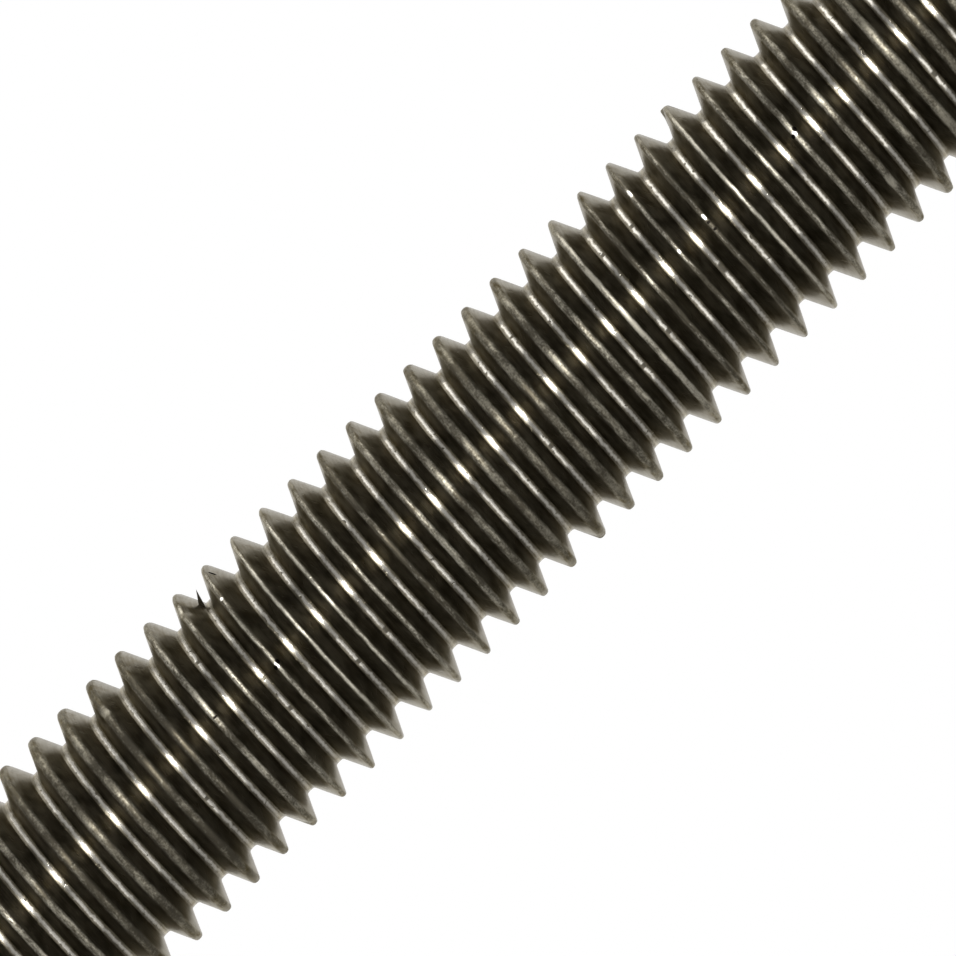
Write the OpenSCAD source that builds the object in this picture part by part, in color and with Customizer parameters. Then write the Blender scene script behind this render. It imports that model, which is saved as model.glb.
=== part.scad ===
// Threaded rod: a length of plain steel stud with one left-hand thread along all of it,
// cut square at both ends and chamfered. It stands on one end, the origin is the centre
// of that end, and +Z runs along the rod.

/* [Rod] */
// Length from end to end
rod_length = 76.2; // [30:0.1:84]
// Diameter over the crests of the thread
major_d = 12.7; // [9:0.1:25]
// How far inside the bottom of the groove each end face stops
end_inset = 0.15; // [0.05:0.05:0.6]

/* [Thread] */
// Direction in which the thread winds
thread_hand = "left"; // [left, right]
// Crests in one inch of the rod
threads_per_inch = 13; // [9:1:13]
// Angle between the two flanks of the groove
thread_angle = 52; // [50:1:60]
// Width of the flat on each crest
crest_flat = 0.3; // [0.2:0.01:0.4]
// Width of the flat at the bottom of the groove
root_flat = 0.3; // [0.2:0.01:0.5]
// Straight stretches in one turn of a flank
turn_sides = 36; // [24:4:36]

/* [Hidden] */
inch = 25.4;
// Distance along the rod from one crest to the next
pitch = inch / threads_per_inch;
// Spare turns past each end, which the blank cuts away
spare_turns = 1.5;
// Width and depth of a flank, from the edge of a crest to the edge of a root
flank_width = (pitch - crest_flat - root_flat) / 2;
groove_depth = flank_width / tan(thread_angle / 2);
major_r = major_d / 2;
root_r = major_r - groove_depth;
// Radius at which the two flanks of a ridge would meet in a sharp edge
ridge_r = major_r + crest_flat / 2 / tan(thread_angle / 2);
// Size of the end faces, and of the 45 degree chamfer round them
end_r = root_r - end_inset;
chamfer = major_r - end_r;
// The thread is swept in short steps, from below the rod to above it
first_z = -spare_turns * pitch;
turns = ceil(rod_length / pitch + 2 * spare_turns);
last_step = turns * turn_sides;
// The groove starts at every step but those of the last turn
last_groove = last_step - turn_sides;

// Point of a right-hand helix at a step, at a radius and a height above the sharp edge
function helix_point(step, radius, rise) =
    let (angle = 360 * step / turn_sides)
    [radius * cos(angle), radius * sin(angle), first_z + pitch * step / turn_sides + rise];

// The sharp edge of the ridge, then the two edges of the groove's flat bottom
edge_points = [for (step = [0 : last_step]) helix_point(step, ridge_r, 0)];
root_points = [
    for (step = [0 : last_groove], side = [-1, 1])
        helix_point(step, root_r, (pitch + side * root_flat) / 2)
];
axis_points = [[0, 0, first_z], [0, 0, first_z + turns * pitch]];
bottom_centre = len(edge_points) + len(root_points);
top_centre = bottom_centre + 1;

// Index of a corner of the groove: 0 the edge under it, 1 and 2 its bottom, and 3 the
// edge above it, which is the same edge one turn on
function corner(step, place) =
    place == 0 ? step
    : place == 3 ? step + turn_sides
    : len(edge_points) + 2 * step + place - 1;

// The lower flank, bottom and upper flank of the groove over one step, two triangles each
function groove_faces(step) = [
    for (place = [0 : 2])
        let (
            a = corner(step, place),
            b = corner(step, place + 1),
            c = corner(step + 1, place + 1),
            d = corner(step + 1, place)
        )
        each [[a, b, c], [a, c, d]]
];

// Fans from the axis that close the thread under its first turn and over its last
bottom_faces = concat(
    [for (step = [0 : turn_sides - 1]) [bottom_centre, step, step + 1]],
    [for (place = [0 : 2]) [bottom_centre, corner(0, place + 1), corner(0, place)]]
);
top_faces = concat(
    [for (step = [last_groove : last_step - 1]) [top_centre, step + 1, step]],
    [
        for (place = [0 : 2])
            [top_centre, corner(last_groove, place), corner(last_groove, place + 1)]
    ]
);

// Endless thread with sharp ridges, longer and wider than the rod
module sharp_thread() {
    flank_faces = [for (step = [0 : last_groove - 1]) each groove_faces(step)];
    mirror([0, thread_hand == "left" ? 1 : 0, 0])
        polyhedron(
            points = concat(edge_points, root_points, axis_points),
            faces = concat(flank_faces, bottom_faces, top_faces)
        );
}

// Turned blank: the crest diameter, the two square ends and their chamfers
module blank() {
    rotate_extrude($fn = 72)
        polygon([
            [0, 0],
            [end_r, 0],
            [major_r, chamfer],
            [major_r, rod_length - chamfer],
            [end_r, rod_length],
            [0, rod_length]
        ]);
}

// The rod: what the blank and the sharp thread share, so the crests are true arcs
module threaded_rod() {
    color("dimgray")
        intersection() {
            blank();
            sharp_thread();
        }
}

threaded_rod();
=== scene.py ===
"""A threaded rod of dark steel, standing on one sawn end on a plain pale floor, with painted shade
on its flanks and a painted reflection along the bottoms of its grooves.

The thread is one helical mesh. Sizes are in millimetres until they go into the scene, and places
round the rod are in degrees from its front. The length and diameter come from the part's box in
model.glb.
"""

import math
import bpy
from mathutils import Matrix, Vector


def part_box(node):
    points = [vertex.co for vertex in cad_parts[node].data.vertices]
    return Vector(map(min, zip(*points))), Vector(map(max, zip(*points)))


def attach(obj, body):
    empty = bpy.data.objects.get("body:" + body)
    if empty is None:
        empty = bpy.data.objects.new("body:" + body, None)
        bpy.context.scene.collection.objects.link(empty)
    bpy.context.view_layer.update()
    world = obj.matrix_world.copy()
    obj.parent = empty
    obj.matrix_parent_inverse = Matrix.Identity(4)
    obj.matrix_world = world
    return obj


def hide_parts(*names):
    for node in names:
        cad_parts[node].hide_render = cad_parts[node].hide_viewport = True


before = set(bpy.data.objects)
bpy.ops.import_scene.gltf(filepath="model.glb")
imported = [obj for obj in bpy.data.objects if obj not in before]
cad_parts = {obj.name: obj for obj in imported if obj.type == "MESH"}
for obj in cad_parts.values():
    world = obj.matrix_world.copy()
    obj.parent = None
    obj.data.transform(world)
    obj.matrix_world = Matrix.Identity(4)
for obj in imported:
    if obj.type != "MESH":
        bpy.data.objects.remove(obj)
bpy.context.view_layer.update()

from types import SimpleNamespace

import bpy
import numpy as np
from mathutils import Matrix, Vector

MM = 0.001
NODE = "threaded_rod"
LOW, HIGH = (np.array(corner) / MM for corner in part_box(NODE))
ROD_LENGTH = HIGH[2] - LOW[2]
MAJOR_R = (HIGH[0] - LOW[0]) / 2

# The thread, as the solid has it: left-handed, with its ridge half a pitch up at +X
PITCH = 25.4 / 13
FLANK_TILT = math.radians(26)
ROOT_R = 4.962
ROOT_HALF_FLAT = 0.125
ROOT_ROUNDING = 0.14
CREST_HALF_FLAT = 0.013
END_INSET = 0.15
END_R = ROOT_R - END_INSET
MEAN_TURN = math.pi * (MAJOR_R + ROOT_R)
SPARE_TURNS = 2
FIRST_RIDGE_Z = (0.5 - SPARE_TURNS) * PITCH
FIRST_ROOT_Z = FIRST_RIDGE_Z + PITCH / 2

# The rolling left the crests sharp and blunt by turns: their rounding, how much lower the blunt
# ones are, how many turns a cycle takes, and the bluntest turn of one
SHARP_ROUNDING = 0.14
BLUNT_ROUNDING = 0.19
BLUNT_DROP = 0.075
BLUNT_PERIOD = 13.5
BLUNT_TURN = 22.4

# The crests are a little uneven and wander a little, in random waves of these lengths
UNEVEN = 0.034
UNEVEN_WAVES = (1.7, 3.6, 6.1, 11.0)
WOBBLE = 0.018
WOBBLE_WAVES = (0.8, 1.9, 4.3)
SEED = 11

# Unevenness and blows grow from the groove's bottom to the crest with this power of the height
CREST_POWER = 3

# How finely the thread is divided, and the least angle at which faces meet in a sharp edge
TURN_SIDES = 128
CREST_STEPS = 2
FLANK_STEPS = 3
ROOT_STEPS = 3
SHARP_ANGLE = math.radians(38)

# The mesh's own map: the width of a turn, the gap after it and the margin above and below it,
# the two round ends, and one small triangle for each side of the burr
MAP_TURN = 0.47
MAP_GAP = 0.01
MAP_MARGIN = 0.04
MAP_END_R = 0.025
MAP_END_X = 1 - 1.2 * MAP_END_R
MAP_END_Y = (0.25, 0.75)
MAP_BURR = ((0.97, 0.5), (0.98, 0.5), (0.97, 0.51))

# Crests that shine more or less than the others: height at the front, and how much. The change
# fades out over this many turns to each side
CREST_SHINE = (
    (11.3, -0.10),
    (17.2, -0.12),
    (19.1, -0.14),
    (27.0, 0.18),
    (28.9, 0.12),
    (32.8, -0.16),
    (48.5, 0.16),
    (50.4, -0.14),
    (52.4, -0.08),
    (54.3, -0.16),
    (56.3, 0.18),
    (66.0, 0.10),
)
SHINE_TURNS = 0.45

# Dark breaks in the painted reflection along the bottom of the groove: height, angle and length
ROOT_BREAKS = (
    (18.1, 20, 0.25),
    (21.9, -40, 0.25),
    (23.7, 17, 0.3),
    (24.8, -5, 0.2),
    (27.7, 26, 0.3),
    (29.6, 24, 0.4),
    (41.5, 16, 0.3),
    (43.9, -47, 0.2),
    (47.3, 21, 0.3),
    (49.4, 17, 0.35),
    (49.7, -42, 0.25),
    (51.6, -42, 0.3),
    (53.3, 13, 0.7),
    (66.9, 20, 0.4),
)

# Dark nicks on the crests and their flanks: height, angle, distance up the rod from the crest,
# and length
NICKS = (
    (24.9, -3.5, -0.13, 0.22),
    (24.9, -5, 0.12, 0.26),
    (21.0, -7, 0.04, 0.10),
    (54.4, -8, 0.0, 0.12),
    (54.4, -4, 0.02, 0.12),
    (60.2, -8.5, -0.12, 0.22),
    (60.2, -10.5, 0.11, 0.25),
    (25.4, -73, 0.26, 0.28),
)

# Painted glints: bright spots on the crests that stand in for reflections of light: height, angle
# and length
PAINTED_GLINTS = (
    (24.9, -4, 0.3),
    (54.4, -11, 0.3),
    (60.2, -9, 0.25),
    (52.5, -8, 0.2),
    (52.7, -46, 0.5),
    (25.2, -46, 0.2),
)

# Widths of these marks, and where a mark fades out, in shares of its half length and half width
BREAK_WIDTH = 0.45
CREST_MARK_WIDTH = 0.2
MARK_FADE = (0.7, 1.2)

# Places where the ridge was struck: height, angle, how far its edge is bent up the rod and
# pressed in, and the length struck. The fall is how steeply a blow fades out along the ridge
DENTS = (
    (24.1, -61, -0.10, 0.14, 0.5),
    (17.1, -48, 0.06, 0.10, 0.4),
    (56.5, -88, -0.24, 0.0, 0.45),
    (52.6, -46, 0.08, 0.10, 0.5),
    (54.4, -72, 0.05, 0.08, 0.8),
    (40.4, 84, 0.08, 0.10, 0.4),
    (21.0, 78, 0.12, 0.06, 0.35),
    (62.0, 38, -0.06, 0.10, 0.5),
)
DENT_FALL = 4

# A thin burr that stands on a flank: height, angle and distance from the axis of its foot and of
# its tip
BURR_FOOT = (24.02, -78, 5.0)
BURR_TIP = (24.45, -80, 5.85)
BURR_HALF_WIDTH = 0.18

# The place from the ridge and from the groove that faces off the thread have. The sawn ends have
# a look of their own, and the burr takes the look of a flank
END_PLACE = (0.0, 0.0, 0.0)
BURR_PLACE = (0.0, 0.5, 0.0)

# Colours of the steel, with painted shade in the flanks, a painted reflection along the groove's
# bottom and painted glints on the crests, and the tints of its reflections seen at a slant
# Painted shade: the flanks' colours are kept near black as the groove's shade, with a random brown
# mottle between these two
FLANK_SHADE_DARK = (0.032, 0.0270, 0.0172, 1)
FLANK_SHADE_BROWN = (0.063, 0.055, 0.038, 1)
CREST_DULL = (0.030, 0.026, 0.018, 1)
CREST_BLUNT = (0.137, 0.126, 0.098, 1)
CREST_SHARP = (0.25, 0.235, 0.195, 1)
# Painted glint colour for the bright spots on the crests
PAINTED_GLINT_COLOUR = (0.7, 0.68, 0.62, 1)
# Painted reflection: the bright colour of the groove's bottom stands in for the light that it
# reflects
ROOT_PAINTED_REFLECTION = (0.25, 0.238, 0.213, 1)
ROOT_DULL = (0.04, 0.036, 0.028, 1)
PIT_BLACK = (0.006, 0.005, 0.004, 1)
CUT_DARK = (0.10, 0.095, 0.085, 1)
CUT_LIGHT = (0.24, 0.23, 0.21, 1)
EDGE_DULL = (0.64, 0.575, 0.45, 1)
EDGE_CLEAN = (0.97, 0.92, 0.80, 1)

# Noise on the steel: size of its grain along the thread and up the rod, detail and roughness. The
# grain of the saw marks lies along the rod's own axes, in metres
CREST_STREAKS = ((0.45, 0.10, 1.0), 3.0, 0.6)
CREST_GRAIN = ((0.11, 0.07, 1.0), 2.0, 0.6)
CREST_RAGGED = ((0.5, 0.5, 1.0), 3.0, 0.6)
CREST_PATCHES = ((2.0, 0.6, 1.0), 4.0, 0.6)
FLANK_MOTTLE = ((1.0, 0.4, 1.0), 4.0, 0.65)
FLANK_STREAKS = ((2.5, 0.06, 1.0), 3.0, 0.6)
ROOT_PATCHES = ((1.6, 1.0, 1.0), 2.0, 0.5)
ROOT_GRAIN = ((0.30, 0.14, 1.0), 3.0, 0.6)
ROOT_PITS = ((0.5, 0.35, 1.0), 2.0, 0.5)
ROOT_WANDER = ((0.4, 6.0, 1.0), 3.0, 0.65)
SAW_MARKS = ((9.0 * MM, 0.12 * MM, 9.0 * MM), 4.0, 0.7)

# The range that most of the noise lies in
NOISE_RANGE = (0.3, 0.7)

# The worn line on a crest: its half width where the crest is sharp and where it is blunt, how
# ragged it is and how soft its edge is
CREST_LINE = (0.065, 0.175)
CREST_LINE_RAGGED = 0.03
CREST_LINE_SOFT = 0.04

# The painted reflection along the groove's bottom: how far from its middle it fades, and how far it
# wanders
ROOT_LINE = (0.02, 0.125)
ROOT_LINE_WANDER = 0.05

# What the noise and the bluntness add to the shine of a crest, and the range from dull to bright
SHINE_STREAKS = (0.36, 0.58)
SHINE_PATCHES = (-0.22, 0.22)
SHINE_GRAIN = (-0.12, 0.12)
SHINE_BLUNT = (0, -0.06)
SHINE_RANGE = (0.26, 0.74)

# The same for the painted reflection at the bottom of the groove, and the range of the pits in it
GLEAM_GRAIN = (0.42, 0.58)
GLEAM_PATCHES = (-0.20, 0.20)
GLEAM_RANGE = (0.12, 0.56)
PIT_RANGE = (0.63, 0.68)

# What the streaks add to the mottle of the flanks, and the ranges of their colour and their tint
CLEAN_STREAKS = (-0.12, 0.12)
BROWN_RANGE = (0.35, 0.65)
TINT_RANGE = (0.25, 0.65)

# Where a face between a sawn end and the thread turns from one look into the other
CUT_RANGE = (0.3, 0.7)

# Roughness at both ends of the noise on the flanks, crests and cuts, and of the groove's gleam
FLANK_ROUGH = (0.28, 0.38)
CREST_ROUGH = (0.50, 0.38)
CUT_ROUGH = (0.62, 0.50)
ROOT_ROUGH = (0.28, 0.16)

# A thin film of oil: its weight on the flanks and on the lines, its roughness on flanks and crests
OIL_WEIGHT = (0.24, 0.08)
OIL_ROUGH = (0.24, 0.55)

# Glints are long round the rod, as on steel that was rolled that way: how much, and the turn
BRUSHED = 0.7
BRUSHED_TURN = 0.25

# Height of the streaks on flanks and crests, of the groove's bottom, and depth of its breaks, all
# as shares of the relief's depth
FLANK_RELIEF = 0.4
CREST_RELIEF = 0.6
ROOT_RELIEF = 0.2
BREAK_RELIEF = 0.5
RELIEF_STRENGTH = 0.5
RELIEF_DEPTH = 0.03

# The camera looks at the front of the rod from a little above, and is rolled so that the rod
# rises from the lower left corner of the picture to the upper right one
PICTURE_PX = 956
PX_PER_MM = 20.854
ROD_SLOPE = 44.88
CAMERA_DISTANCE = 600.0
CAMERA_RISE = math.radians(1.8)
CAMERA_ROLL = math.radians(90 - ROD_SLOPE)
CAMERA_TARGET_Z = 19.325 * PITCH
CAMERA_NEAR = 10.0
CAMERA_FAR = 20000.0
SENSOR_MM = 36.0

# Soft oval lamps: name, turn and rise from the front in degrees, width, height, and brightness,
# where the white background has 1
LAMP_DISTANCE = 780.0
LAMPS = (
    ("key", -16.5, 8, 215, 500, 50),
    ("left_panel", -96, 10, 900, 900, 3.9),
    ("right_panel", 39, 10, 700, 740, 2.9),
)

# The room looks white, and lights the scene with this share of it
WHITE = (1, 1, 1, 1)
ROOM_LIGHT = 0.75

# The floor: half its width, and how far from the rod it turns into plain white
FLOOR_HALF = 3000.0
FLOOR_FADE = (60.0, 150.0)
FLOOR_COLOUR = (0.9, 0.9, 0.89, 1)
FLOOR_ROUGH = 0.9


def turn_at(height, angle, first):
    """Turns along the thread to the place nearest to a height and an angle."""
    share = (90 - angle) / 360
    return round((height - first) / PITCH - share) + share


def profile(drop, rounding):
    """Rise and radius from the middle of one crest to just before the next."""
    lean_end = math.pi / 2 - FLANK_TILT
    half_flat = CREST_HALF_FLAT + drop * math.tan(FLANK_TILT)
    crest_centre_r = MAJOR_R - drop - rounding
    root_centre_r = ROOT_R + ROOT_ROUNDING
    crest = []
    for step in range(CREST_STEPS + 1):
        lean = step / CREST_STEPS * lean_end
        crest.append((half_flat + rounding * math.sin(lean),
                      crest_centre_r + rounding * math.cos(lean)))
    root = []
    for step in range(ROOT_STEPS + 1):
        lean = (1 - step / ROOT_STEPS) * lean_end
        root.append((PITCH / 2 - ROOT_HALF_FLAT - ROOT_ROUNDING * math.sin(lean),
                     root_centre_r - ROOT_ROUNDING * math.cos(lean)))
    top, foot = np.array(crest[-1]), np.array(root[0])
    flank = [tuple(top + (foot - top) * step / FLANK_STEPS) for step in range(1, FLANK_STEPS)]
    half = [(0.0, MAJOR_R - drop)] + crest + flank + root
    return np.array(half + [(PITCH - rise, radius) for rise, radius in reversed(half[1:])])


def waves(along, lengths, seed):
    """A smooth random curve along the thread, between about -1 and 1."""
    draw = np.random.default_rng(seed)
    total = np.zeros_like(along)
    for length in lengths:
        total += np.sin(2 * math.pi * (along / length + draw.random()))
    return total / math.sqrt(len(lengths) * 2)


def strike(ridge_turn, crest_share, height, radius):
    """Bend and press in the ridge where it was struck, and tell where that is."""
    struck = 0 * height
    for dent_z, dent_angle, bend, press, length in DENTS:
        away = (ridge_turn - turn_at(dent_z, dent_angle, FIRST_RIDGE_Z)) * MEAN_TURN / length
        near = np.exp(-DENT_FALL * away ** 2)
        blow = crest_share * near
        height = height + bend * blow
        radius = radius - press * blow
        struck = np.maximum(struck, near * (press > 0))
    return height, radius, struck


def crest_shine(ridge_turn):
    """How much more or less than the others the crest shines."""
    shiny = 0 * ridge_turn
    for crest_z, amount in CREST_SHINE:
        away = ridge_turn - turn_at(crest_z, 0, FIRST_RIDGE_Z)
        shiny = shiny + amount * np.exp(-(away / SHINE_TURNS) ** 2)
    return shiny


def thread_grid():
    """Corners of the thread on a grid: steps along the ridge, points across the groove."""
    sharp, blunt = profile(0.0, SHARP_ROUNDING), profile(BLUNT_DROP, BLUNT_ROUNDING)
    steps = math.ceil(ROD_LENGTH / PITCH + 2 * SPARE_TURNS) * TURN_SIDES
    turn = np.arange(steps + 1)[:, None] / TURN_SIDES
    # The ridge that a corner belongs to: its own below the root, the next turn's above
    ridge_turn = turn + (sharp[:, 0] > PITCH / 2)
    bluntness = 0.5 + 0.5 * np.cos(2 * math.pi * (ridge_turn - BLUNT_TURN) / BLUNT_PERIOD)
    rise = sharp[:, 0] + (blunt[:, 0] - sharp[:, 0]) * bluntness
    radius = sharp[:, 1] + (blunt[:, 1] - sharp[:, 1]) * bluntness
    crest_share = np.clip((radius - ROOT_R) / (MAJOR_R - ROOT_R), 0, 1) ** CREST_POWER
    length = ridge_turn * MEAN_TURN
    radius = radius + crest_share * UNEVEN * (waves(length, UNEVEN_WAVES, SEED) - 1)
    wobble = WOBBLE * crest_share * waves(length, WOBBLE_WAVES, SEED + 1)
    height = FIRST_RIDGE_Z + PITCH * turn + rise + wobble
    height, radius, struck = strike(ridge_turn, crest_share, height, radius)
    radius = np.minimum(radius, MAJOR_R)
    cone = END_R + np.clip(np.minimum(height, ROD_LENGTH - height), 0, None)
    grids = {"cut": radius > cone, "blunt": bluntness, "shiny": crest_shine(ridge_turn),
             "struck": struck}
    angle = -2 * math.pi * turn + 0 * height
    return angle, np.clip(height, 0, ROD_LENGTH), np.minimum(radius, cone), grids


def shared_corners(height):
    """Number of each grid corner. Past an end they all fall on its rim, made once."""
    rows, columns = height.shape
    count = rows * columns
    side = np.arange(rows)[:, None] % TURN_SIDES
    index = np.arange(count).reshape(rows, columns)
    index = np.where(height <= 0, count + side, index)
    return np.where(height >= ROD_LENGTH, count + TURN_SIDES + side, index)


def groove_quads(grid):
    """The four corners of each face, where the last point is the next turn's first."""
    wide = np.concatenate([grid[:-TURN_SIDES], grid[TURN_SIDES:, :1]], axis=1)
    corners = [wide[:-1, :-1], wide[:-1, 1:], wide[1:, 1:], wide[1:, :-1]]
    return np.stack(corners, axis=2).reshape(-1, 4)


def thread_faces(index):
    """Faces of the thread without the corners that coincide, and which face corners are kept."""
    faces, kept = [], []
    for number, quad in enumerate(groove_quads(index).tolist()):
        corners = [k for k in range(4) if quad[k] != quad[k - 1]]
        if len({quad[k] for k in corners}) > 2:
            faces.append([quad[k] for k in corners])
            kept += [4 * number + k for k in corners]
    return faces, kept


def corner_places(rows):
    """For each face corner: its place on the map, from its ridge and from its groove."""
    across = np.append(profile(0.0, SHARP_ROUNDING)[:, 0], PITCH)
    columns = len(across) - 1
    step, point = np.mgrid[0:rows - TURN_SIDES - 1, 0:columns]
    along = step[..., None] + np.array([0, 0, 1, 1])
    point_at = point[..., None] + np.array([0, 1, 1, 0])
    turn = step[..., None] // TURN_SIDES
    lines = (rows // TURN_SIDES + 1) // 2
    u = MAP_TURN * (turn % 2) + (MAP_TURN - MAP_GAP) * (along / TURN_SIDES - turn)
    v = (turn // 2 + MAP_MARGIN + (1 - 2 * MAP_MARGIN) * point_at / columns) / lines
    upper = point[..., None] >= columns // 2
    length = along * MEAN_TURN / TURN_SIDES
    rise = across[point_at]
    ridge = np.stack([length + upper * MEAN_TURN, rise - upper * PITCH, 0 * rise], axis=-1)
    groove = np.stack([length, rise - PITCH / 2, 0 * rise], axis=-1)
    return np.stack([u, v], axis=-1).reshape(-1, 2), ridge.reshape(-1, 3), groove.reshape(-1, 3)


def with_corners(layers, on_map, place):
    """The layers of places with more face corners, all at one place from ridge and groove."""
    places = np.tile(place, (len(on_map), 1))
    return [np.concatenate(pair) for pair in zip(layers, (on_map, places, places))]


def around(height, angle, radius):
    """A point at degrees round the rod from its front."""
    angle = math.radians(angle)
    return [radius * math.sin(angle), -radius * math.cos(angle), height]


def burr():
    """Corners and faces of the burr, a thin three-sided spike."""
    foot_z, foot_angle, foot_r = BURR_FOOT
    half, turn = BURR_HALF_WIDTH, math.degrees(BURR_HALF_WIDTH / foot_r)
    corners = [around(*BURR_TIP), around(foot_z - half, foot_angle, foot_r),
               around(foot_z + half, foot_angle - turn, foot_r),
               around(foot_z + half, foot_angle + turn, foot_r)]
    return corners, [(0, 1, 3), (0, 3, 2), (0, 2, 1), (1, 2, 3)]


def rim_points(z):
    """Points round the edge of a sawn end."""
    turn = -2 * math.pi * np.arange(TURN_SIDES) / TURN_SIDES
    return np.stack([END_R * np.cos(turn), END_R * np.sin(turn), z + 0 * turn], axis=-1)


def end_on_map(y):
    """Places of a sawn end's corners on the map."""
    turn = 2 * math.pi * np.arange(TURN_SIDES) / TURN_SIDES
    return np.stack([np.cos(turn), np.sin(turn)], axis=-1) * MAP_END_R + [MAP_END_X, y]


def point_values(grids, spike_size):
    """What each point carries: the thread's values, then those of both rims and of the burr."""
    values = {}
    for name, grid in grids.items():
        rims = np.full(2 * TURN_SIDES, 1.0 if name == "cut" else 0.0)
        values[name] = np.concatenate([grid.reshape(-1).astype(float), rims, np.zeros(spike_size)])
    return values


def rod_mesh(points, faces, layers, values):
    """A mesh of the faces and of the points that they use, with all that these carry."""
    used = np.unique(np.concatenate([np.array(face) for face in faces]))
    renumber = np.zeros(len(points), dtype=int)
    renumber[used] = np.arange(len(used))
    mesh = bpy.data.meshes.new("rod")
    mesh.from_pydata((points[used] * MM).tolist(), [], [renumber[face].tolist() for face in faces])
    for name, value in values.items():
        mesh.attributes.new(name, "FLOAT", "POINT").data.foreach_set("value", value[used])
    mesh.uv_layers.new(name="OFBake").data.foreach_set("uv", layers[0].reshape(-1))
    for name, layer in zip(("from_ridge", "from_groove"), layers[1:]):
        attribute = mesh.attributes.new(name, "FLOAT_VECTOR", "CORNER")
        attribute.data.foreach_set("vector", layer.reshape(-1))
    mesh.polygons.foreach_set("use_smooth", np.ones(len(mesh.polygons), dtype=bool))
    mesh.set_sharp_from_angle(angle=SHARP_ANGLE)
    return mesh


def add_object(name, data):
    """A new object in the scene."""
    thing = bpy.data.objects.new(name, data)
    bpy.context.scene.collection.objects.link(thing)
    return thing


def build_rod():
    """The whole rod as one mesh: the thread, its two sawn ends and the burr."""
    angle, height, radius, grids = thread_grid()
    rows, columns = height.shape
    faces, kept = thread_faces(shared_corners(height))
    layers = [layer[kept] for layer in corner_places(rows)]
    points = np.stack([radius * np.cos(angle), radius * np.sin(angle), height], axis=-1)

    low_rim = rows * columns + np.arange(TURN_SIDES)
    faces += [low_rim.tolist(), (low_rim + TURN_SIDES)[::-1].tolist()]
    for y in MAP_END_Y:
        layers = with_corners(layers, end_on_map(y), END_PLACE)
    points = np.concatenate([points.reshape(-1, 3), rim_points(0.0), rim_points(ROD_LENGTH)])

    spike, sides = burr()
    faces += [[len(points) + k for k in side] for side in sides]
    layers = with_corners(layers, np.tile(MAP_BURR, (len(sides), 1)), BURR_PLACE)
    points = np.concatenate([points, spike])
    return add_object("rod", rod_mesh(points, faces, layers, point_values(grids, len(spike))))


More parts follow.
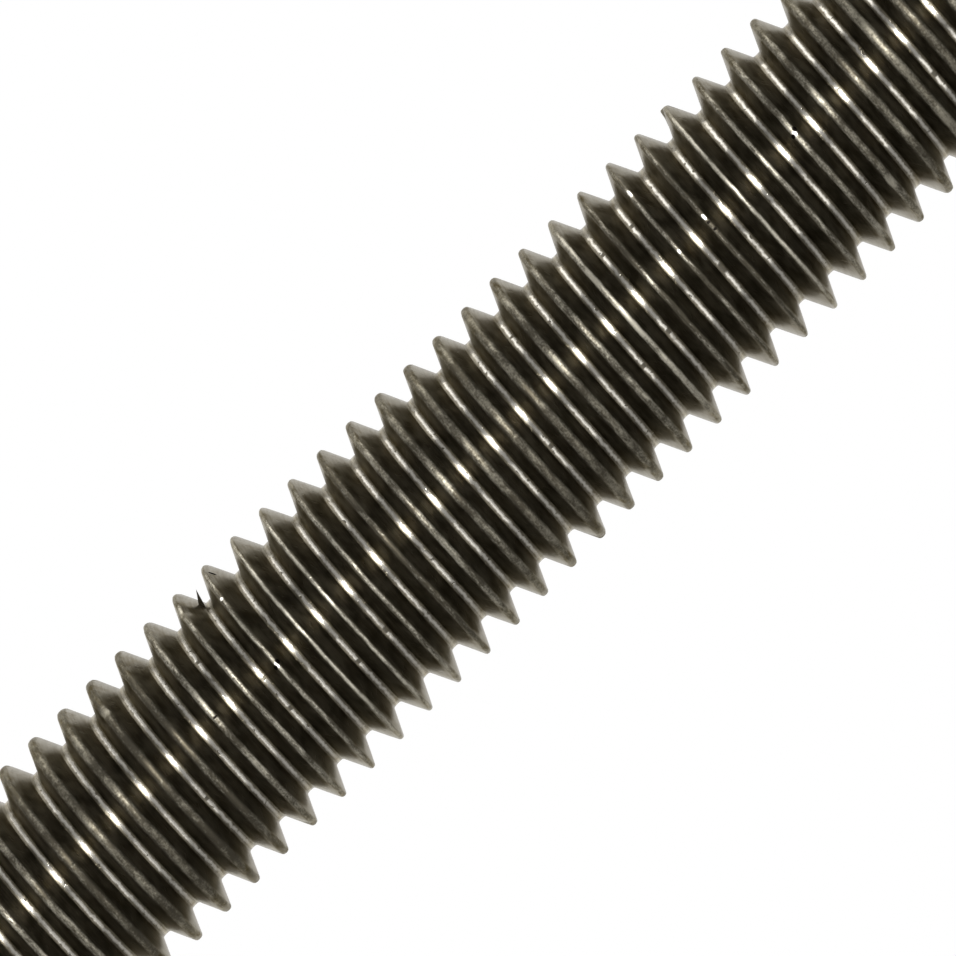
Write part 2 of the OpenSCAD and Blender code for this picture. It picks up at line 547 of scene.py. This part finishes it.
class Nodes:
    """Short names for the shader nodes that a material uses."""

    def __init__(self, tree):
        self.tree = tree

    def add(self, kind, **settings):
        """A new node with these settings."""
        node = self.tree.nodes.new(kind)
        for name, value in settings.items():
            setattr(node, name, value)
        return node

    def feed(self, socket, value):
        """Link a socket to an output, or give it a fixed value."""
        if isinstance(value, bpy.types.NodeSocket):
            self.tree.links.new(value, socket)
        else:
            socket.default_value = value

    def attribute(self, name, output="Fac"):
        """What the mesh carries under a name."""
        return self.add("ShaderNodeAttribute", attribute_name=name).outputs[output]

    def part(self, vector, axis):
        """One of the three parts of a vector."""
        node = self.add("ShaderNodeSeparateXYZ")
        self.feed(node.inputs[0], vector)
        return node.outputs[axis]

    def maths(self, operation, a, b=0.0):
        """The result of one operation on one or two values."""
        node = self.add("ShaderNodeMath", operation=operation)
        self.feed(node.inputs[0], a)
        self.feed(node.inputs[1], b)
        return node.outputs[0]

    def total(self, first, *others):
        """The sum of several values."""
        for other in others:
            first = self.maths("ADD", first, other)
        return first

    def invert(self, value):
        """1 less a value."""
        return self.maths("SUBTRACT", 1.0, value)

    def step(self, value, low, high):
        """0 below low, 1 above high, smooth between them."""
        node = self.add("ShaderNodeMapRange", interpolation_type="SMOOTHSTEP")
        self.feed(node.inputs["Value"], value)
        self.feed(node.inputs["From Min"], low)
        self.feed(node.inputs["From Max"], high)
        return node.outputs["Result"]

    def scale(self, value, to_low, to_high, low=0, high=1):
        """A value between low and high, brought between two others."""
        node = self.add("ShaderNodeMapRange")
        self.feed(node.inputs["Value"], value)
        for name, number in zip(("From Min", "From Max", "To Min", "To Max"),
                                (low, high, to_low, to_high)):
            self.feed(node.inputs[name], number)
        return node.outputs["Result"]

    def spread(self, noise, to_low, to_high):
        """Noise in its usual range, brought between two values."""
        return self.scale(noise, to_low, to_high, *NOISE_RANGE)

    def noise(self, vector, grain, detail, roughness):
        """Noise from 0 to 1 with a grain of about these sizes, in the vector's own unit."""
        stretched = self.add("ShaderNodeVectorMath", operation="DIVIDE")
        self.feed(stretched.inputs[0], vector)
        stretched.inputs[1].default_value = grain
        node = self.add("ShaderNodeTexNoise")
        self.feed(node.inputs["Vector"], stretched.outputs[0])
        self.feed(node.inputs["Scale"], 1.0)
        self.feed(node.inputs["Detail"], detail)
        self.feed(node.inputs["Roughness"], roughness)
        return node.outputs["Fac"]

    def blend(self, share, a, b):
        """A colour from a to b."""
        node = self.add("ShaderNodeMix", data_type="RGBA")
        self.feed(node.inputs["Factor"], share)
        self.feed(node.inputs[6], a)
        self.feed(node.inputs[7], b)
        return node.outputs[2]

    def blend_value(self, share, a, b):
        """A number from a to b."""
        node = self.add("ShaderNodeMix", data_type="FLOAT")
        self.feed(node.inputs["Factor"], share)
        self.feed(node.inputs["A"], a)
        self.feed(node.inputs["B"], b)
        return node.outputs["Result"]

    def mark(self, vector, along, across, length, width):
        """1 at a place along the thread, 0 away from it."""
        offset = self.add("ShaderNodeVectorMath", operation="SUBTRACT")
        self.feed(offset.inputs[0], vector)
        offset.inputs[1].default_value = (along, across, 0)
        scaled = self.add("ShaderNodeVectorMath", operation="DIVIDE")
        self.feed(scaled.inputs[0], offset.outputs[0])
        scaled.inputs[1].default_value = (length / 2, width / 2, 1)
        reach = self.add("ShaderNodeVectorMath", operation="LENGTH")
        self.feed(reach.inputs[0], scaled.outputs[0])
        return self.invert(self.step(reach.outputs["Value"], *MARK_FADE))

    def marks(self, vector, first, places, width):
        """1 at each place, given by its height, angle, distance up the rod and length."""
        nearest = 0.0
        for height, angle, across, length in places:
            along = turn_at(height - across, angle, first) * MEAN_TURN
            nearest = self.maths("MAXIMUM", nearest, self.mark(vector, along, across, length, width))
        return nearest


def on_line(places):
    """Places with no distance up the rod, right on the ridge or in the groove's middle."""
    return [(height, angle, 0.0, length) for height, angle, length in places]


def crest_line(n, wear_and_sheen):
    """1 on the worn line along a crest, 0 beside it."""
    ragged = n.spread(n.noise(wear_and_sheen.ridge, *CREST_RAGGED), -CREST_LINE_RAGGED, CREST_LINE_RAGGED)
    width = n.total(n.scale(wear_and_sheen.blunt, *CREST_LINE), ragged)
    off_ridge = n.maths("ABSOLUTE", n.part(wear_and_sheen.ridge, 1))
    inner, outer = n.maths("SUBTRACT", width, CREST_LINE_SOFT), n.total(width, CREST_LINE_SOFT)
    return n.invert(n.step(off_ridge, inner, outer))


def painted_root_reflection(n, wear_and_sheen):
    """1 on the painted reflection along the bottom of the groove, 0 beside it."""
    middle = n.spread(n.noise(wear_and_sheen.groove, *ROOT_WANDER), -ROOT_LINE_WANDER, ROOT_LINE_WANDER)
    off_root = n.maths("ABSOLUTE", n.maths("SUBTRACT", n.part(wear_and_sheen.groove, 1), middle))
    return n.invert(n.step(off_root, *ROOT_LINE))


def root_gleam(n, wear_and_sheen):
    """How strongly the bottom of the groove gleams, for the strength of its painted reflection and
    its smoothness, with its breaks left dark.
    """
    gleam = n.total(n.spread(n.noise(wear_and_sheen.groove, *ROOT_GRAIN), *GLEAM_GRAIN),
                    n.spread(n.noise(wear_and_sheen.groove, *ROOT_PATCHES), *GLEAM_PATCHES))
    return n.maths("MULTIPLY", n.step(gleam, *GLEAM_RANGE), n.invert(wear_and_sheen.breaks))


def steel_wear_and_sheen(n):
    """Where the steel is worn, marked or sawn, where its painted shade and painted reflection go,
    and the noise on it.
    """
    wear_and_sheen = SimpleNamespace()
    wear_and_sheen.ridge, wear_and_sheen.groove = (n.attribute(name, "Vector") for name in ("from_ridge", "from_groove"))
    wear_and_sheen.blunt = n.attribute("blunt")
    wear_and_sheen.cut = n.step(n.attribute("cut"), *CUT_RANGE)
    wear_and_sheen.streaks = n.noise(wear_and_sheen.ridge, *CREST_STREAKS)
    wear_and_sheen.mottle = n.noise(wear_and_sheen.groove, *FLANK_MOTTLE)
    wear_and_sheen.flank_streaks = n.noise(wear_and_sheen.groove, *FLANK_STREAKS)
    wear_and_sheen.saw_marks = n.noise(n.add("ShaderNodeTexCoord").outputs["Object"], *SAW_MARKS)
    wear_and_sheen.clean = n.total(wear_and_sheen.mottle, n.spread(wear_and_sheen.flank_streaks, *CLEAN_STREAKS))
    wear_and_sheen.nicks = n.marks(wear_and_sheen.ridge, FIRST_RIDGE_Z, NICKS, CREST_MARK_WIDTH)
    pits = n.step(n.noise(wear_and_sheen.groove, *ROOT_PITS), *PIT_RANGE)
    breaks = n.marks(wear_and_sheen.groove, FIRST_ROOT_Z, on_line(ROOT_BREAKS), BREAK_WIDTH)
    wear_and_sheen.breaks = n.maths("MAXIMUM", pits, breaks)
    wear_and_sheen.crest, wear_and_sheen.root = crest_line(n, wear_and_sheen), painted_root_reflection(n, wear_and_sheen)
    wear_and_sheen.gleam = root_gleam(n, wear_and_sheen)
    return wear_and_sheen


def crest_colour(n, wear_and_sheen):
    """Patchy and streaked crests, clean where they were struck, with painted glints."""
    shine = n.total(n.spread(wear_and_sheen.streaks, *SHINE_STREAKS), n.attribute("shiny"),
                    n.spread(n.noise(wear_and_sheen.ridge, *CREST_PATCHES), *SHINE_PATCHES),
                    n.spread(n.noise(wear_and_sheen.ridge, *CREST_GRAIN), *SHINE_GRAIN),
                    n.scale(wear_and_sheen.blunt, *SHINE_BLUNT))
    shine = n.total(n.step(shine, *SHINE_RANGE), n.attribute("struck"))
    colour = n.blend(shine, CREST_DULL, n.blend(wear_and_sheen.blunt, CREST_SHARP, CREST_BLUNT))
    # Painted glints: bright spots on the crests that stand in for reflections
    painted_glints = n.marks(wear_and_sheen.ridge, FIRST_RIDGE_Z, on_line(PAINTED_GLINTS), CREST_MARK_WIDTH)
    return n.blend(painted_glints, colour, PAINTED_GLINT_COLOUR)


def steel_colour(n, wear_and_sheen):
    """Flanks with painted shade, paler crests, groove bottoms with a painted reflection, black nicks
    and grey sawn ends.
    """
    # Painted shade: the flanks take near-black colours that stand in for the groove's shade
    colour = n.blend(n.step(wear_and_sheen.clean, *BROWN_RANGE), FLANK_SHADE_DARK, FLANK_SHADE_BROWN)
    colour = n.blend(wear_and_sheen.crest, colour, crest_colour(n, wear_and_sheen))
    # Painted reflection: the groove's bottom takes a bright colour where it would reflect light
    colour = n.blend(wear_and_sheen.root, colour, n.blend(wear_and_sheen.gleam, ROOT_DULL, ROOT_PAINTED_REFLECTION))
    colour = n.blend(wear_and_sheen.nicks, colour, PIT_BLACK)
    sawn = n.blend(n.step(wear_and_sheen.saw_marks, *NOISE_RANGE), CUT_DARK, CUT_LIGHT)
    return n.blend(wear_and_sheen.cut, colour, sawn)


def steel_tint(n, wear_and_sheen):
    """Tint of the reflections seen at a slant."""
    tint = n.blend(n.step(wear_and_sheen.clean, *TINT_RANGE), EDGE_DULL, EDGE_CLEAN)
    return n.blend(wear_and_sheen.nicks, n.blend(wear_and_sheen.cut, tint, EDGE_DULL), PIT_BLACK)


def steel_roughness(n, wear_and_sheen):
    """Smooth groove bottoms, rougher flanks and crests, and dull sawn ends."""
    rough = n.blend_value(wear_and_sheen.crest, n.spread(wear_and_sheen.mottle, *FLANK_ROUGH),
                          n.spread(wear_and_sheen.streaks, *CREST_ROUGH))
    rough = n.blend_value(wear_and_sheen.root, rough, n.scale(wear_and_sheen.gleam, *ROOT_ROUGH))
    return n.blend_value(wear_and_sheen.cut, rough, n.spread(wear_and_sheen.saw_marks, *CUT_ROUGH))


def steel_oil(n, wear_and_sheen):
    """Weight of the oil: less on the lines, and none in the nicks and on the sawn ends."""
    oil = n.scale(n.maths("MAXIMUM", wear_and_sheen.crest, wear_and_sheen.root), *OIL_WEIGHT)
    return n.maths("MULTIPLY", oil, n.invert(n.maths("MAXIMUM", wear_and_sheen.nicks, wear_and_sheen.cut)))


def steel_relief(n, wear_and_sheen):
    """Small bumps: streaks along the thread, sunken breaks and nicks, and saw marks."""
    relief = n.blend_value(wear_and_sheen.crest, n.maths("MULTIPLY", wear_and_sheen.flank_streaks, FLANK_RELIEF),
                           n.maths("MULTIPLY", wear_and_sheen.streaks, CREST_RELIEF))
    relief = n.blend_value(wear_and_sheen.root, relief, ROOT_RELIEF)
    sunken = n.total(n.maths("MULTIPLY", wear_and_sheen.breaks, BREAK_RELIEF), wear_and_sheen.nicks)
    relief = n.blend_value(wear_and_sheen.cut, n.maths("SUBTRACT", relief, sunken), wear_and_sheen.saw_marks)
    bump = n.add("ShaderNodeBump")
    n.feed(bump.inputs["Height"], relief)
    bump.inputs["Strength"].default_value = RELIEF_STRENGTH
    bump.inputs["Distance"].default_value = RELIEF_DEPTH * MM
    return bump.outputs[0]


def new_material(name):
    """A material, its nodes and its shader."""
    material = bpy.data.materials.new(name)
    material.use_nodes = True
    return material, Nodes(material.node_tree), material.node_tree.nodes["Principled BSDF"]


def steel():
    """Dark rolled steel with painted shade on its flanks, worn crests, groove bottoms bright with a
    painted reflection, and sawn ends.
    """
    material, n, shader = new_material("steel")
    wear_and_sheen = steel_wear_and_sheen(n)
    n.feed(shader.inputs["Base Color"], steel_colour(n, wear_and_sheen))
    n.feed(shader.inputs["Specular Tint"], steel_tint(n, wear_and_sheen))
    n.feed(shader.inputs["Roughness"], steel_roughness(n, wear_and_sheen))
    n.feed(shader.inputs["Coat Weight"], steel_oil(n, wear_and_sheen))
    n.feed(shader.inputs["Coat Roughness"], n.scale(wear_and_sheen.crest, *OIL_ROUGH))
    n.feed(shader.inputs["Normal"], steel_relief(n, wear_and_sheen))
    shader.inputs["Metallic"].default_value = 1.0
    shader.inputs["Anisotropic"].default_value = BRUSHED
    shader.inputs["Anisotropic Rotation"].default_value = BRUSHED_TURN
    tangent = n.add("ShaderNodeTangent", direction_type="RADIAL", axis="Z")
    n.feed(shader.inputs["Tangent"], tangent.outputs[0])
    return material


def add_camera():
    """The camera, in front of the rod and rolled."""
    data = bpy.data.cameras.new("camera")
    data.sensor_width = SENSOR_MM
    data.lens = SENSOR_MM * CAMERA_DISTANCE * PX_PER_MM / PICTURE_PX
    data.clip_start = CAMERA_NEAR * MM
    data.clip_end = CAMERA_FAR * MM
    target = Vector((0, 0, CAMERA_TARGET_Z)) * MM
    toward = Vector((0, -math.cos(CAMERA_RISE), math.sin(CAMERA_RISE)))
    right = Vector((1, 0, 0))
    up = toward.cross(right)
    level = Matrix((right, up, toward)).transposed().to_4x4()
    place = Matrix.Translation(target + toward * CAMERA_DISTANCE * MM)
    camera = add_object("camera", data)
    camera.matrix_world = place @ level @ Matrix.Rotation(CAMERA_ROLL, 4, "Z")
    bpy.context.scene.camera = camera


def add_lamps():
    """Oval lamps that face the middle of the rod."""
    middle = Vector((0, 0, ROD_LENGTH / 2))
    for name, turn, rise, width, height, brightness in LAMPS:
        turn, rise = math.radians(turn), math.radians(rise)
        direction = Vector((math.sin(turn) * math.cos(rise), -math.cos(turn) * math.cos(rise),
                            math.sin(rise)))
        data = bpy.data.lights.new(name, "AREA")
        data.shape = "ELLIPSE"
        data.size = width * MM
        data.size_y = height * MM
        area = math.pi / 4 * data.size * data.size_y
        data.energy = brightness * math.pi * area
        lamp = add_object(name, data)
        lamp.location = (middle + direction * LAMP_DISTANCE) * MM
        lamp.rotation_euler = direction.to_track_quat("Z", "Y").to_euler()


def add_world():
    """A room that looks plain white and lights the scene a little less."""
    world = bpy.data.worlds.new("studio")
    bpy.context.scene.world = world
    world.use_nodes = True
    n = Nodes(world.node_tree)
    background = world.node_tree.nodes["Background"]
    path = n.add("ShaderNodeLightPath").outputs
    seen = n.maths("MAXIMUM", path["Is Camera Ray"],
                   n.maths("MAXIMUM", path["Is Glossy Ray"], path["Is Transmission Ray"]))
    n.feed(background.inputs["Strength"], n.blend_value(seen, ROOM_LIGHT, 1.0))
    background.inputs["Color"].default_value = WHITE


def floor_paint():
    """Pale matt paint that turns into plain white away from the rod."""
    material, n, shader = new_material("floor")
    shader.inputs["Base Color"].default_value = FLOOR_COLOUR
    shader.inputs["Roughness"].default_value = FLOOR_ROUGH
    shader.inputs["Specular IOR Level"].default_value = 0.0
    glow = n.add("ShaderNodeEmission")
    glow.inputs["Color"].default_value = WHITE
    distance = n.add("ShaderNodeVectorMath", operation="LENGTH")
    n.feed(distance.inputs[0], n.add("ShaderNodeTexCoord").outputs["Object"])
    far = n.step(distance.outputs["Value"], *(edge * MM for edge in FLOOR_FADE))
    path = n.add("ShaderNodeLightPath").outputs
    seen = n.maths("MAXIMUM", path["Is Camera Ray"], path["Is Glossy Ray"])
    mix = n.add("ShaderNodeMixShader")
    n.feed(mix.inputs[0], n.maths("MULTIPLY", far, seen))
    n.feed(mix.inputs[1], shader.outputs[0])
    n.feed(mix.inputs[2], glow.outputs[0])
    n.feed(material.node_tree.nodes["Material Output"].inputs["Surface"], mix.outputs[0])
    return material


def add_floor():
    """A wide floor under the rod."""
    half = FLOOR_HALF * MM
    mesh = bpy.data.meshes.new("floor")
    mesh.from_pydata([(-half, -half, 0), (half, -half, 0), (half, half, 0), (-half, half, 0)],
                     [], [(0, 1, 2, 3)])
    floor = add_object("floor", mesh)
    floor.data.materials.append(floor_paint())


rod = build_rod()
rod.data.materials.append(steel())
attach(rod, "root")
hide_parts(NODE)

add_camera()
add_world()
add_floor()
add_lamps()

bpy.context.scene.view_settings.view_transform = "Standard"
